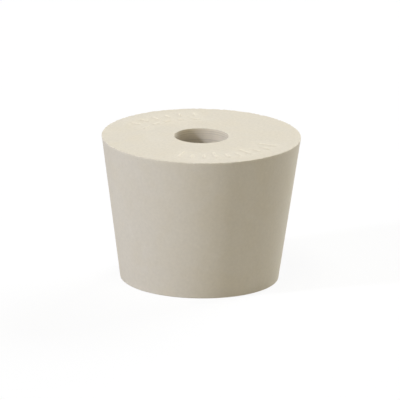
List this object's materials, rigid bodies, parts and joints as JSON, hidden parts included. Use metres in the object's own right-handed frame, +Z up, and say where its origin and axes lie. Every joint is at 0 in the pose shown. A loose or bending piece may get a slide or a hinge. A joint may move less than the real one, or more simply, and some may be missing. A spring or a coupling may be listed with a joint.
{
  "type": "rubber stopper",
  "caption": "Tapered round rubber plug with flat ends, lightly rounded edges and a straight bore along its axis for a tube.",
  "frame": {"origin": "centre of the small end's face, which the stopper stands on", "axes": "+Z up the bore's axis, from the small end to the wide end"},
  "size_m": [0.034, 0.034, 0.025],
  "materials": {
    "rubber": "matte"
  },
  "bodies": {
    "root": {"stopper": "rubber"}
  },
  "joints": []
}
